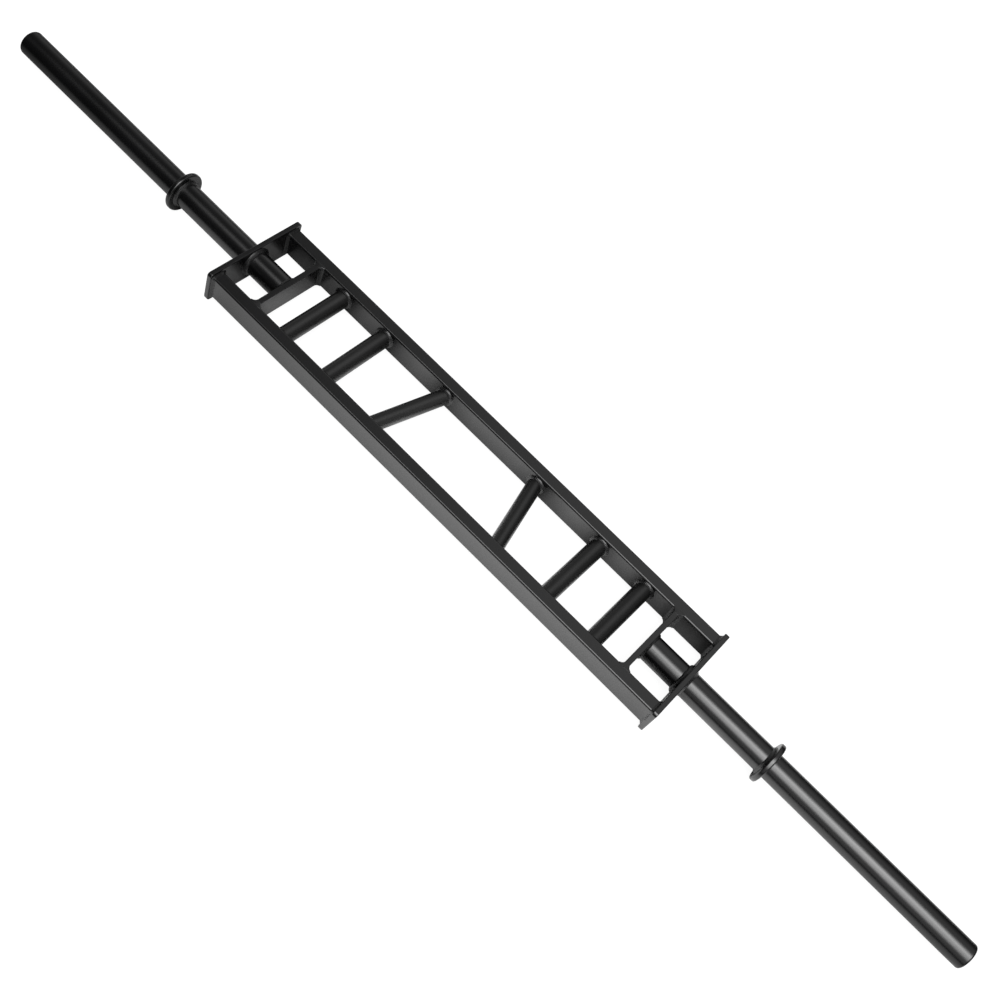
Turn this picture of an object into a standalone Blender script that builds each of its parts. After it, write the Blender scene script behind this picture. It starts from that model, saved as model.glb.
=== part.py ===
"""A multi-grip barbell, welded up from two box rails, four plates, six pipe grips and two sleeves.

The bar lies along X with its middle at the origin. The sleeves' axis is the X axis, the grips
cross from the front rail (-Y) to the rear rail (+Y), and +Z is the side that faces up in use.
Left is -X and right is +X.
"""

import math

import bmesh
import bpy
from mathutils import Matrix, Vector

# All sizes are in metres.

# Clearance between two pieces that touch, which is where the weld metal holds them.
GAP = 0.0003

# Points of one outline that lie closer than this are the same point.
SAME_POINT = 0.00003

# Sleeve tubes, which also carry the collars and run back into the frame.
SLEEVE_RADIUS = 0.025
SLEEVE_WALL = 0.005
SLEEVE_RIM_ROUND = 0.004
HALF_LENGTH = 1.163

# Plugs that close the sleeves' ends.
PLUG_THICKNESS = 0.006
PLUG_EDGE = 0.0006

# Collars, measured to the face that the weight plates stop against.
COLLAR_RADIUS = 0.0405
COLLAR_THICKNESS = 0.010
COLLAR_ROUND = 0.003
COLLAR_STOP = 0.733

# Box rails.
RAIL_WIDTH = 0.0254
RAIL_HEIGHT = 0.0508
RAIL_WALL = 0.0025
RAIL_CORNER = 0.0033
RAIL_INNER_CORNER = 0.0008
RAIL_CENTRE = 0.0905

# End plates, which close the rails and let the sleeves through.
END_PLATE_FACE = 0.533
END_PLATE_THICKNESS = 0.0095
END_PLATE_SIDE_LIP = 0.0068
END_PLATE_TOP_LIP = 0.0096
END_PLATE_CORNER = 0.007

# Inner plates, which the sleeves butt against.
INNER_PLATE_FACE = 0.444
INNER_PLATE_THICKNESS = 0.0105

# The small round along every plate edge.
PLATE_EDGE = 0.0008
INNER_PLATE_CORNER = 0.0012

# Grips: two straight pairs of one pipe and an angled pair of a thinner one.
OUTER_GRIP_X = 0.3805
MIDDLE_GRIP_X = 0.272
ANGLED_GRIP_X = 0.1345
STRAIGHT_GRIP_RADIUS = 0.0168
ANGLED_GRIP_RADIUS = 0.0149
GRIP_WALL = 0.0034
ANGLED_GRIP_TURN = math.radians(14.3)

# Weld metal, given by the leg of each fillet.
GRIP_WELD = 0.005
COLLAR_WELD = 0.005
SLEEVE_INNER_WELD = 0.007
SLEEVE_OUTER_WELD = 0.0045
BUTT_WELD = 0.0045
BUTT_WELD_CROWN = 0.0015
RAIL_END_WELD = 0.0055
INNER_PLATE_OUTER_WELD = 0.008
INNER_PLATE_INNER_WELD = 0.007

# How far a bead's face swells out, or is drawn in, as a share of its leg.
CROWN = 0.08
COVE = -0.12

# Facets.
SLEEVE_SIDES = 48
GRIP_SIDES = 36
WELD_SIDES = 28
CORNER_STEPS = 4
ROUND_STEPS = 3
WELD_STEPS = 3

# How far the cylinder that cuts a plate's bore stands out of the plate on each side.
CUTTER_OVERRUN = 0.010

# What follows from the sizes above.
RAIL_INNER_FACE = RAIL_CENTRE - RAIL_WIDTH / 2
RAIL_OUTER_FACE = RAIL_CENTRE + RAIL_WIDTH / 2
RAIL_LENGTH = 2 * (END_PLATE_FACE - GAP)
END_PLATE_WIDTH = 2 * (RAIL_OUTER_FACE + END_PLATE_SIDE_LIP)
END_PLATE_HEIGHT = RAIL_HEIGHT + 2 * END_PLATE_TOP_LIP
INNER_PLATE_WIDTH = 2 * (RAIL_INNER_FACE - GAP)
SLEEVE_START = INNER_PLATE_FACE + INNER_PLATE_THICKNESS + GAP

BLACK_COAT = (0.012, 0.012, 0.013, 1.0)
WELD_COAT = (0.016, 0.016, 0.017, 1.0)
PLUG_COAT = (0.010, 0.010, 0.010, 1.0)
STEEL_SHEEN = 0.42
SLEEVE_SHEEN = 0.36
WELD_SHEEN = 0.38


def clear_scene():
    """Take away whatever the file opened with."""
    for old in list(bpy.data.objects):
        bpy.data.objects.remove(old, do_unlink=True)


def coat(name, colour, roughness):
    """A powder coat over steel, satin rather than glossy."""
    material = bpy.data.materials.new(name)
    material.use_nodes = True
    shader = material.node_tree.nodes["Principled BSDF"]
    shader.inputs["Base Color"].default_value = colour
    shader.inputs["Roughness"].default_value = roughness
    shader.inputs["Metallic"].default_value = 0.0
    return material


def place(name, mesh, colour, roughness, parent, location=(0, 0, 0), turn=0.0):
    """Give a mesh its object, its own coat and its place on the bar."""
    material = coat(name + "_coat", colour, roughness)
    obj = bpy.data.objects.new(name, mesh)
    if not mesh.materials:
        mesh.materials.append(None)
    obj.material_slots[0].link = "OBJECT"
    obj.material_slots[0].material = material
    obj.location = location
    obj.rotation_euler = (0, 0, turn)
    obj.parent = parent
    bpy.context.scene.collection.objects.link(obj)
    return obj


def finish_mesh(bm, name, smooth_angle=30):
    """Turn the faces outward and shade the round faces smooth."""
    bmesh.ops.recalc_face_normals(bm, faces=bm.faces[:])
    mesh = bpy.data.meshes.new(name)
    bm.to_mesh(mesh)
    bm.free()
    mesh.shade_smooth()
    mesh.set_sharp_from_angle(angle=math.radians(smooth_angle))
    return mesh


def skin_outlines(bm, outlines):
    """Carry a closed loop of edges from each outline to the next, and on to the first again."""
    first = [bm.verts.new(point) for point in outlines[0]]
    edges = [bm.edges.new((first[i - 1], first[i])) for i in range(len(first))]
    front = first
    for outline in outlines[1:] + outlines[:1]:
        grown = bmesh.ops.extrude_edge_only(bm, edges=edges)["geom"]
        fresh = {item for item in grown if isinstance(item, bmesh.types.BMVert)}
        edges = [
            item for item in grown
            if isinstance(item, bmesh.types.BMEdge) and fresh.issuperset(item.verts)
        ]
        moved = []
        for vert, point in zip(front, outline):
            partners = [edge.other_vert(vert) for edge in vert.link_edges]
            partner = next(other for other in partners if other in fresh)
            partner.co = point
            moved.append(partner)
        front = moved
    bmesh.ops.remove_doubles(bm, verts=first + front, dist=SAME_POINT)


def turn_profile(bm, profile, sides):
    """Spin a closed (x, radius) profile about the X axis, with a flat side underneath."""
    half_side = math.pi / sides
    verts = [
        bm.verts.new((x, -radius * math.sin(half_side), -radius * math.cos(half_side)))
        for x, radius in profile
    ]
    edges = [bm.edges.new((verts[i - 1], verts[i])) for i in range(len(verts))]
    bmesh.ops.spin(
        bm,
        geom=verts + edges,
        cent=(0, 0, 0),
        axis=(1, 0, 0),
        angle=2 * math.pi,
        steps=sides,
        use_merge=True,
    )


def corner_arc(centre_x, centre_r, radius, start, end, steps=ROUND_STEPS):
    """Points on a profile's rounded corner, from one angle to the other in degrees."""
    points = []
    for i in range(steps + 1):
        angle = math.radians(start + (end - start) * i / steps)
        points.append((centre_x + radius * math.cos(angle), centre_r + radius * math.sin(angle)))
    return points


def box_outline(width, height, corner, steps=CORNER_STEPS):
    """(y, z) points round a rectangle with rounded corners."""
    points = []
    for quarter, (side, top) in enumerate(((1, 1), (-1, 1), (-1, -1), (1, -1))):
        centre_y = side * (width / 2 - corner)
        centre_z = top * (height / 2 - corner)
        for i in range(steps + 1):
            angle = math.pi / 2 * (quarter + i / steps)
            points.append((centre_y + corner * math.cos(angle), centre_z + corner * math.sin(angle)))
    return points


def bead_section(leg, bulge=0.0):
    """(along, out) points of a fillet: its root, its two toes and a face that bulges out or in.

    A bulge of 0 is a straight face, a positive one a crown and a negative one a cove.
    """
    points = [(GAP, GAP)]
    for i in range(WELD_STEPS + 1):
        part = i / WELD_STEPS
        swell = bulge * leg * math.sin(math.pi * part)
        along = GAP + (leg - GAP) * part + swell
        out = leg + (GAP - leg) * part + swell
        points.append((along, out))
    return points


def stack_outlines(bm, outlines):
    """Pull a face up from each outline to the next, closed at the first and at the last."""
    base = bm.faces.new([bm.verts.new(point) for point in outlines[0]])
    face = base
    for below, above in zip(outlines, outlines[1:]):
        grown = bmesh.ops.extrude_face_region(bm, geom=[face])["geom"]
        if face is not base:
            bmesh.ops.delete(bm, geom=[face], context="FACES_ONLY")
        face = next(item for item in grown if isinstance(item, bmesh.types.BMFace))
        for vert in face.verts:
            spot = vert.co.copy()
            index = min(range(len(below)), key=lambda i: (spot - Vector(below[i])).length)
            vert.co = above[index]


def rail_mesh():
    """A box tube, open at both ends."""
    bm = bmesh.new()
    half = RAIL_LENGTH / 2
    outer = box_outline(RAIL_WIDTH, RAIL_HEIGHT, RAIL_CORNER)
    inner = box_outline(RAIL_WIDTH - 2 * RAIL_WALL, RAIL_HEIGHT - 2 * RAIL_WALL, RAIL_INNER_CORNER)
    outlines = [
        [(-half, y, z) for y, z in outer],
        [(half, y, z) for y, z in outer],
        [(half, y, z) for y, z in inner],
        [(-half, y, z) for y, z in inner],
    ]
    skin_outlines(bm, outlines)
    return finish_mesh(bm, "rail")


def plate_mesh(name, width, height, thickness, corner):
    """A flat plate that stands across the bar, its inner face at x = 0, with every edge broken."""
    bm = bmesh.new()
    outline = [bm.verts.new((0, y, z)) for y, z in box_outline(width, height, corner)]
    face = bm.faces.new(outline)
    grown = bmesh.ops.extrude_face_region(bm, geom=[face])
    moved = [item for item in grown["geom"] if isinstance(item, bmesh.types.BMVert)]
    bmesh.ops.translate(bm, verts=moved, vec=(thickness, 0, 0))
    bm.normal_update()
    rims = [edge for edge in bm.edges if abs(edge.verts[0].co.x - edge.verts[1].co.x) < thickness / 2]
    bmesh.ops.bevel(
        bm, geom=rims, offset=PLATE_EDGE, segments=1, profile=0.5, affect="EDGES", material=-1
    )
    return finish_mesh(bm, name)


def sleeve_mesh():
    """The sleeve's tube, from its butt against the inner plate to its rounded outer rim."""
    bm = bmesh.new()
    bore = SLEEVE_RADIUS - SLEEVE_WALL
    rim = corner_arc(
        HALF_LENGTH - SLEEVE_RIM_ROUND, SLEEVE_RADIUS - SLEEVE_RIM_ROUND, SLEEVE_RIM_ROUND, 90, 0
    )
    profile = [(SLEEVE_START, bore), (SLEEVE_START, SLEEVE_RADIUS)] + rim + [(HALF_LENGTH, bore)]
    turn_profile(bm, profile, SLEEVE_SIDES)
    return finish_mesh(bm, "sleeve")


def plug_mesh():
    """The disc that closes a sleeve's mouth, flush with its rim."""
    bm = bmesh.new()
    radius = SLEEVE_RADIUS - SLEEVE_WALL - GAP
    made = bmesh.ops.create_cone(
        bm,
        cap_ends=True,
        segments=SLEEVE_SIDES,
        radius1=radius,
        radius2=radius,
        depth=PLUG_THICKNESS,
        matrix=Matrix.Rotation(math.pi / 2, 4, "Y"),
    )
    bmesh.ops.translate(bm, verts=made["verts"], vec=(HALF_LENGTH - PLUG_THICKNESS / 2, 0, 0))
    outer_rim = [edge for edge in bm.edges if all(v.co.x > HALF_LENGTH - PLUG_EDGE for v in edge.verts)]
    bmesh.ops.bevel(
        bm, geom=outer_rim, offset=PLUG_EDGE, segments=1, profile=0.5, affect="EDGES", material=-1
    )
    return finish_mesh(bm, "plug")


def collar_mesh():
    """A thick ring round the sleeve with rounded rims."""
    bm = bmesh.new()
    inner_face = COLLAR_STOP - COLLAR_THICKNESS
    bore = SLEEVE_RADIUS + GAP
    centre_r = COLLAR_RADIUS - COLLAR_ROUND
    profile = (
        [(inner_face, bore)]
        + corner_arc(inner_face + COLLAR_ROUND, centre_r, COLLAR_ROUND, 180, 90)
        + corner_arc(COLLAR_STOP - COLLAR_ROUND, centre_r, COLLAR_ROUND, 90, 0)
        + [(COLLAR_STOP, bore)]
    )
    turn_profile(bm, profile, SLEEVE_SIDES)
    return finish_mesh(bm, "collar")


def along_grip(turn):
    """Carry what was spun about X onto a grip, with its ends still in line with the rails."""
    slant = Matrix.Identity(4)
    slant[0][0] = 1 / math.cos(turn)
    slant[0][1] = -math.tan(turn)
    return slant @ Matrix.Rotation(math.pi / 2, 4, "Z")


def grip_mesh(name, radius, turn):
    """A pipe across the frame, cut at both ends to lie along the rails' inner faces."""
    bm = bmesh.new()
    end = RAIL_INNER_FACE - GAP
    bore = radius - GRIP_WALL
    turn_profile(bm, [(-end, bore), (-end, radius), (end, radius), (end, bore)], GRIP_SIDES)
    bm.transform(along_grip(turn))
    return finish_mesh(bm, name)


def round_bead_mesh(name, face_x, side, leg, bulge=0.0):
    """A fillet round the sleeve, standing on the flat face at face_x.

    side is +1 where the fillet lies beyond the face and -1 where it lies before it.
    """
    bm = bmesh.new()
    section = bead_section(leg, bulge)
    profile = [(face_x + side * along, SLEEVE_RADIUS + out) for along, out in section]
    turn_profile(bm, profile, WELD_SIDES)
    return finish_mesh(bm, name)


def butt_bead_mesh(name):
    """The fillet round a sleeve's butt, drawn in where the inner plate is hardly taller than it."""
    bm = bmesh.new()
    face_x = INNER_PLATE_FACE + INNER_PLATE_THICKNESS
    profile = [(face_x + along, SLEEVE_RADIUS + out) for along, out in bead_section(BUTT_WELD)]
    turn_profile(bm, profile, WELD_SIDES)
    inside = SLEEVE_RADIUS + GAP
    full_room = BUTT_WELD - GAP
    for vert in bm.verts:
        reach = math.hypot(vert.co.y, vert.co.z)
        edge_reach = RAIL_HEIGHT / 2 * reach / max(abs(vert.co.z), GAP)
        room = min(full_room, edge_reach + BUTT_WELD_CROWN - inside)
        share = (inside + (reach - inside) * room / full_room) / reach
        vert.co.y *= share
        vert.co.z *= share
    return finish_mesh(bm, name)


def rail_end_bead_mesh(name):
    """The cove fillet that runs round a rail where it meets the right end plate."""
    bm = bmesh.new()
    outlines = []
    for along, out in bead_section(RAIL_END_WELD, COVE):
        outline = box_outline(RAIL_WIDTH + 2 * out, RAIL_HEIGHT + 2 * out, RAIL_CORNER + out)
        outlines.append([(END_PLATE_FACE - along, y, z) for y, z in outline])
    skin_outlines(bm, outlines)
    return finish_mesh(bm, name)


def grip_bead_mesh(name, radius, turn):
    """The fillet round a grip's rear end, following the slant of its cut on the rail's inner face."""
    bm = bmesh.new()
    section = bead_section(GRIP_WELD, CROWN)
    turn_profile(bm, [(RAIL_INNER_FACE - along, radius + out) for along, out in section], WELD_SIDES)
    bm.transform(along_grip(turn))
    return finish_mesh(bm, name)


def corner_bead_mesh(name, face_x, x_side, y_side, leg):
    """An upright cove fillet in the corner between the right inner plate and a rail.

    Above and below the flat of the rail its side follows the rail's rounded corner, which it shares
    its steps with, so the bead flares out over it.
    """
    bm = bmesh.new()
    flat = RAIL_HEIGHT / 2 - RAIL_CORNER
    levels = []
    for i in range(CORNER_STEPS):
        angle = math.pi / 2 * i / CORNER_STEPS
        levels.append((flat + RAIL_CORNER * math.sin(angle), RAIL_CORNER * (1 - math.cos(angle))))
    levels = [(-height, fall) for height, fall in reversed(levels)] + levels
    outlines = []
    for height, fall in levels:
        outline = []
        for along, out in bead_section(leg, COVE):
            spread = fall * (leg - out) / (leg - GAP)
            outline.append((face_x + x_side * along, y_side * (RAIL_INNER_FACE - out + spread), height))
        outlines.append(outline)
    stack_outlines(bm, outlines)
    return finish_mesh(bm, name)


def bore_cutter(parent, turn, name):
    """The cylinder that opens an end plate for its sleeve."""
    bm = bmesh.new()
    radius = SLEEVE_RADIUS + GAP
    made = bmesh.ops.create_cone(
        bm,
        cap_ends=True,
        segments=SLEEVE_SIDES,
        radius1=radius,
        radius2=radius,
        depth=END_PLATE_THICKNESS + 2 * CUTTER_OVERRUN,
        matrix=Matrix.Rotation(math.pi / 2, 4, "Y"),
    )
    bmesh.ops.translate(bm, verts=made["verts"], vec=(END_PLATE_FACE + END_PLATE_THICKNESS / 2, 0, 0))
    cutter = place(name, finish_mesh(bm, name), BLACK_COAT, STEEL_SHEEN, parent, turn=turn)
    cutter.hide_render = True
    cutter.display_type = "WIRE"
    return cutter


def build_rails(parent):
    """The front and rear rails."""
    mesh = rail_mesh()
    place("front_rail", mesh, BLACK_COAT, STEEL_SHEEN, parent, (0, -RAIL_CENTRE, 0))
    place("rear_rail", mesh, BLACK_COAT, STEEL_SHEEN, parent, (0, RAIL_CENTRE, 0))


def turned(x, y, turn):
    """A place on the right end, carried round to the end that is being built."""
    point = Vector((x, y, 0))
    point.rotate(Matrix.Rotation(turn, 3, "Z"))
    return point


def build_plates(parent, word, turn):
    """One end plate, opened for its sleeve, and one inner plate."""
    name = word + "_end_plate"
    mesh = plate_mesh(name, END_PLATE_WIDTH, END_PLATE_HEIGHT, END_PLATE_THICKNESS, END_PLATE_CORNER)
    end_plate = place(name, mesh, BLACK_COAT, STEEL_SHEEN, parent, turned(END_PLATE_FACE, 0, turn), turn)
    bore = end_plate.modifiers.new("sleeve_bore", "BOOLEAN")
    bore.operation = "DIFFERENCE"
    bore.solver = "EXACT"
    bore.object = bore_cutter(parent, turn, word + "_bore_cutter")

    name = word + "_inner_plate"
    mesh = plate_mesh(name, INNER_PLATE_WIDTH, RAIL_HEIGHT, INNER_PLATE_THICKNESS, INNER_PLATE_CORNER)
    place(name, mesh, BLACK_COAT, STEEL_SHEEN, parent, turned(INNER_PLATE_FACE, 0, turn), turn)


def build_sleeve(parent, word, turn):
    """One sleeve tube with its plug and its collar."""
    place(word + "_sleeve_tube", sleeve_mesh(), BLACK_COAT, SLEEVE_SHEEN, parent, turn=turn)
    place(word + "_sleeve_plug", plug_mesh(), PLUG_COAT, STEEL_SHEEN, parent, turn=turn)
    place(word + "_collar", collar_mesh(), BLACK_COAT, STEEL_SHEEN, parent, turn=turn)


def build_end_welds(parent, word, turn):
    """The weld metal of one end: round the sleeve, round both rails and in the inner plate's corners."""
    collar_back = COLLAR_STOP - COLLAR_THICKNESS
    plate_outside = END_PLATE_FACE + END_PLATE_THICKNESS
    beads = {
        "collar_weld": round_bead_mesh("collar_weld", collar_back, -1, COLLAR_WELD, CROWN),
        "end_plate_outer_weld": round_bead_mesh("outer_weld", plate_outside, 1, SLEEVE_OUTER_WELD),
        "end_plate_inner_weld": round_bead_mesh("inner_weld", END_PLATE_FACE, -1, SLEEVE_INNER_WELD),
        "sleeve_butt_weld": butt_bead_mesh("butt_weld"),
    }
    for name, mesh in beads.items():
        place(word + "_" + name, mesh, WELD_COAT, WELD_SHEEN, parent, turn=turn)

    ring = rail_end_bead_mesh("rail_end_weld")
    for side in (-1, 1):
        spot = turned(0, side * RAIL_CENTRE, turn)
        rail = "rear" if spot.y > 0 else "front"
        place(word + "_" + rail + "_rail_weld", ring, WELD_COAT, WELD_SHEEN, parent, spot, turn)
        for place_word, face_x, x_side, leg in (
            ("outer", INNER_PLATE_FACE + INNER_PLATE_THICKNESS, 1, INNER_PLATE_OUTER_WELD),
            ("inner", INNER_PLATE_FACE, -1, INNER_PLATE_INNER_WELD),
        ):
            name = word + "_inner_plate_" + rail + "_" + place_word + "_weld"
            mesh = corner_bead_mesh(name, face_x, x_side, side, leg)
            place(name, mesh, WELD_COAT, WELD_SHEEN, parent, turn=turn)


def build_grips(parent):
    """The six grips, welded at both ends. The angled pair leans in towards the rear rail."""
    pairs = (
        ("outer_grip", OUTER_GRIP_X, STRAIGHT_GRIP_RADIUS, 0.0),
        ("middle_grip", MIDDLE_GRIP_X, STRAIGHT_GRIP_RADIUS, 0.0),
        ("angled_grip", ANGLED_GRIP_X, ANGLED_GRIP_RADIUS, ANGLED_GRIP_TURN),
    )
    for kind, x, radius, lean in pairs:
        for word, sign in (("left", -1), ("right", 1)):
            name = word + "_" + kind
            spot = (sign * x, 0, 0)
            pipe = grip_mesh(name, radius, sign * lean)
            place(name, pipe, BLACK_COAT, STEEL_SHEEN, parent, spot)
            bead = grip_bead_mesh(name + "_weld", radius, sign * lean)
            place(name + "_rear_weld", bead, WELD_COAT, WELD_SHEEN, parent, spot)
            place(name + "_front_weld", bead, WELD_COAT, WELD_SHEEN, parent, spot, math.pi)


def build():
    """Build the whole bar under one empty at its middle."""
    clear_scene()
    middle = bpy.data.objects.new("bar_middle", None)
    bpy.context.scene.collection.objects.link(middle)
    build_rails(middle)
    for word, turn in (("left", math.pi), ("right", 0.0)):
        build_plates(middle, word, turn)
        build_sleeve(middle, word, turn)
        build_end_welds(middle, word, turn)
    build_grips(middle)


build()
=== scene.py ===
"""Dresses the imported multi-grip bar: finer pieces, black powder coat, a studio and a camera.

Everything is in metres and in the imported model's own frame. The bar lies along X, the front rail is
at -Y, the rear rail at +Y, and +Z faces up. Left is -X and right is +X.
"""

import logging
import math
from dataclasses import dataclass, replace
from enum import Enum
from typing import Callable, Sequence

import bmesh
import bpy
from mathutils import Matrix, Vector, noise

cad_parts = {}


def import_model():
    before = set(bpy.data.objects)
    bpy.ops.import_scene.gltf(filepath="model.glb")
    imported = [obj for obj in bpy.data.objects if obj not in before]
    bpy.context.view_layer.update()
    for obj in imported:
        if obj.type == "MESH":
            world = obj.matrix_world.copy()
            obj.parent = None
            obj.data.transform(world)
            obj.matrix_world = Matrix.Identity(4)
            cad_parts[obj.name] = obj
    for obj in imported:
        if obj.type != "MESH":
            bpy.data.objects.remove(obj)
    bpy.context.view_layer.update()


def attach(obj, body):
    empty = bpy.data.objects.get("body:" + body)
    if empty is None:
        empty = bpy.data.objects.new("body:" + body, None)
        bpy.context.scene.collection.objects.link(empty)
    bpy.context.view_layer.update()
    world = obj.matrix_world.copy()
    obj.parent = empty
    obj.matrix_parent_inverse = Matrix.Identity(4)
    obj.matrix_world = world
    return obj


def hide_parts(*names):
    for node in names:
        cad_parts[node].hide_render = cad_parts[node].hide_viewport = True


LOG = logging.getLogger("bar")

Section = list[tuple[float, float]]
Colour = tuple[float, float, float, float]

# Points nearer than this are one point, in metres.
SAME_POINT = 0.000002
# A swept bead's last ring is joined to its first where it misses it by less than this, in metres.
SAME_RING = 0.00001
# An edge counts as parallel to an axis when this share of its length lies along it.
PARALLEL = 0.999


class Side(Enum):
    """The two ends of the bar. Each end is built as the right one and turned into place."""

    LEFT = "left"
    RIGHT = "right"

    @property
    def turn(self) -> Matrix:
        """The turn about the upright axis that carries the right end to this one."""
        return Matrix.Rotation(math.pi if self is Side.LEFT else 0.0, 4, "Z")

    @property
    def sign(self) -> int:
        """The sign of X on this end."""
        return -1 if self is Side.LEFT else 1


class Coat(Enum):
    """The bar's finishes, by the record's material slots. The grips' coat shares the frame's slot."""

    FRAME = "frame_coat"
    GRIP = "grip_coat"
    SLEEVE = "sleeve_coat"
    WELD = "weld_coat"
    PLUG = "plug_coat"

    @property
    def slot(self) -> str:
        """The record's material slot that the coat goes by."""
        return Coat.FRAME.value if self is Coat.GRIP else self.value


@dataclass(frozen=True)
class Layout:
    """Sizes that several pieces share, in metres.

    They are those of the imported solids, but for the rails' corner, which is 0.5 mm rounder here.
    """

    gap: float = 0.0003
    sleeve_radius: float = 0.025
    half_length: float = 1.163
    rail_centre: float = 0.0905
    rail_width: float = 0.0254
    rail_height: float = 0.0508
    rail_corner: float = 0.0038
    end_plate_face: float = 0.533
    end_plate_thickness: float = 0.0095
    inner_plate_face: float = 0.444
    inner_plate_thickness: float = 0.0105
    collar_stop: float = 0.733
    collar_thickness: float = 0.010

    @property
    def rail_inner_face(self) -> float:
        """The distance from the middle line to the rails' inner faces."""
        return self.rail_centre - self.rail_width / 2

    @property
    def rail_outer_face(self) -> float:
        """The distance from the middle line to the rails' outer faces."""
        return self.rail_centre + self.rail_width / 2

    @property
    def top(self) -> float:
        """The height of the rails' top faces above the middle."""
        return self.rail_height / 2


def linear(hex_colour: str) -> Colour:
    """Turn an sRGB hex colour to linear light.

    Args:
        hex_colour: Six hex digits after a hash mark.

    Returns:
        Red, green, blue and full alpha.
    """
    channels = [int(hex_colour[i : i + 2], 16) / 255 for i in (1, 3, 5)]
    # The numbers below are those of the sRGB standard.
    red, green, blue = (
        value / 12.92 if value <= 0.04045 else ((value + 0.055) / 1.055) ** 2.4 for value in channels
    )
    return red, green, blue, 1.0


def add_node(
    tree: bpy.types.NodeTree,
    kind: str,
    settings: dict[str, object] | None = None,
    inputs: dict[str | int, object] | None = None,
) -> bpy.types.Node:
    """Add a node with its settings, values and links.

    Args:
        tree: The node tree to add to.
        kind: The node's type name.
        settings: Properties of the node itself.
        inputs: A value or another node's output for each named or numbered input.

    Returns:
        The new node.
    """
    node = tree.nodes.new(kind)
    for name, value in (settings or {}).items():
        setattr(node, name, value)
    for key, value in (inputs or {}).items():
        if isinstance(value, bpy.types.NodeSocket):
            tree.links.new(value, node.inputs[key])
        else:
            node.inputs[key].default_value = value
    return node


@dataclass(frozen=True)
class PowderCoat:
    """Black polyester powder, sprayed on steel and baked: satin, with a fine orange peel.

    The eye sees a near-black skin whose reflections are soft and break up a little, because the
    powder never melts out quite level.
    """

    name: str
    shade: str
    dust_shade: str
    roughness: float
    swing: float
    peel_size: float
    peel_depth: float
    speckle_size: float
    speckle_depth: float
    patch_size: float = 0.09
    patch_detail: float = 3.0
    patch_roughness: float = 0.55
    speckle_detail: float = 2.0
    speckle_roughness: float = 0.6
    peel_detail: float = 1.0
    peel_roughness: float = 0.4
    sheen_range: tuple[float, float] = (0.6, 1.4)
    ior: float = 1.5

    def material(self) -> bpy.types.Material:
        """Build the coat's node material.

        Returns:
            The material, on Object coordinates alone.
        """
        material = bpy.data.materials.new(self.name)
        material.use_nodes = True
        tree = material.node_tree
        shader = tree.nodes["Principled BSDF"]
        place = add_node(tree, "ShaderNodeTexCoord").outputs["Object"]
        patches = add_node(
            tree,
            "ShaderNodeTexNoise",
            inputs={
                "Vector": place,
                "Scale": 1 / self.patch_size,
                "Detail": self.patch_detail,
                "Roughness": self.patch_roughness,
            },
        )
        speckle = add_node(
            tree,
            "ShaderNodeTexNoise",
            inputs={
                "Vector": place,
                "Scale": 1 / self.speckle_size,
                "Detail": self.speckle_detail,
                "Roughness": self.speckle_roughness,
            },
        )
        peel = add_node(
            tree,
            "ShaderNodeTexNoise",
            inputs={
                "Vector": place,
                "Scale": 1 / self.peel_size,
                "Detail": self.peel_detail,
                "Roughness": self.peel_roughness,
            },
        )
        # A Mix node's colours are its inputs 6 and 7 and its output 2.
        tint = add_node(
            tree,
            "ShaderNodeMix",
            {"data_type": "RGBA"},
            {0: patches.outputs["Fac"], 6: linear(self.shade), 7: linear(self.dust_shade)},
        )
        tree.links.new(tint.outputs[2], shader.inputs["Base Color"])
        blend = add_node(
            tree,
            "ShaderNodeMath",
            {"operation": "ADD"},
            {0: patches.outputs["Fac"], 1: speckle.outputs["Fac"]},
        )
        sheen = add_node(
            tree,
            "ShaderNodeMapRange",
            inputs={
                "Value": blend.outputs[0],
                "From Min": self.sheen_range[0],
                "From Max": self.sheen_range[1],
                "To Min": self.roughness - self.swing,
                "To Max": self.roughness + self.swing,
            },
        )
        tree.links.new(sheen.outputs["Result"], shader.inputs["Roughness"])
        grain = add_node(
            tree,
            "ShaderNodeBump",
            inputs={
                "Height": speckle.outputs["Fac"],
                "Distance": self.speckle_depth,
                "Strength": 1.0,
            },
        )
        skin = add_node(
            tree,
            "ShaderNodeBump",
            inputs={
                "Height": peel.outputs["Fac"],
                "Distance": self.peel_depth,
                "Strength": 1.0,
                "Normal": grain.outputs["Normal"],
            },
        )
        tree.links.new(skin.outputs["Normal"], shader.inputs["Normal"])
        shader.inputs["IOR"].default_value = self.ior
        shader.inputs["Metallic"].default_value = 0.0
        return material


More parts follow.
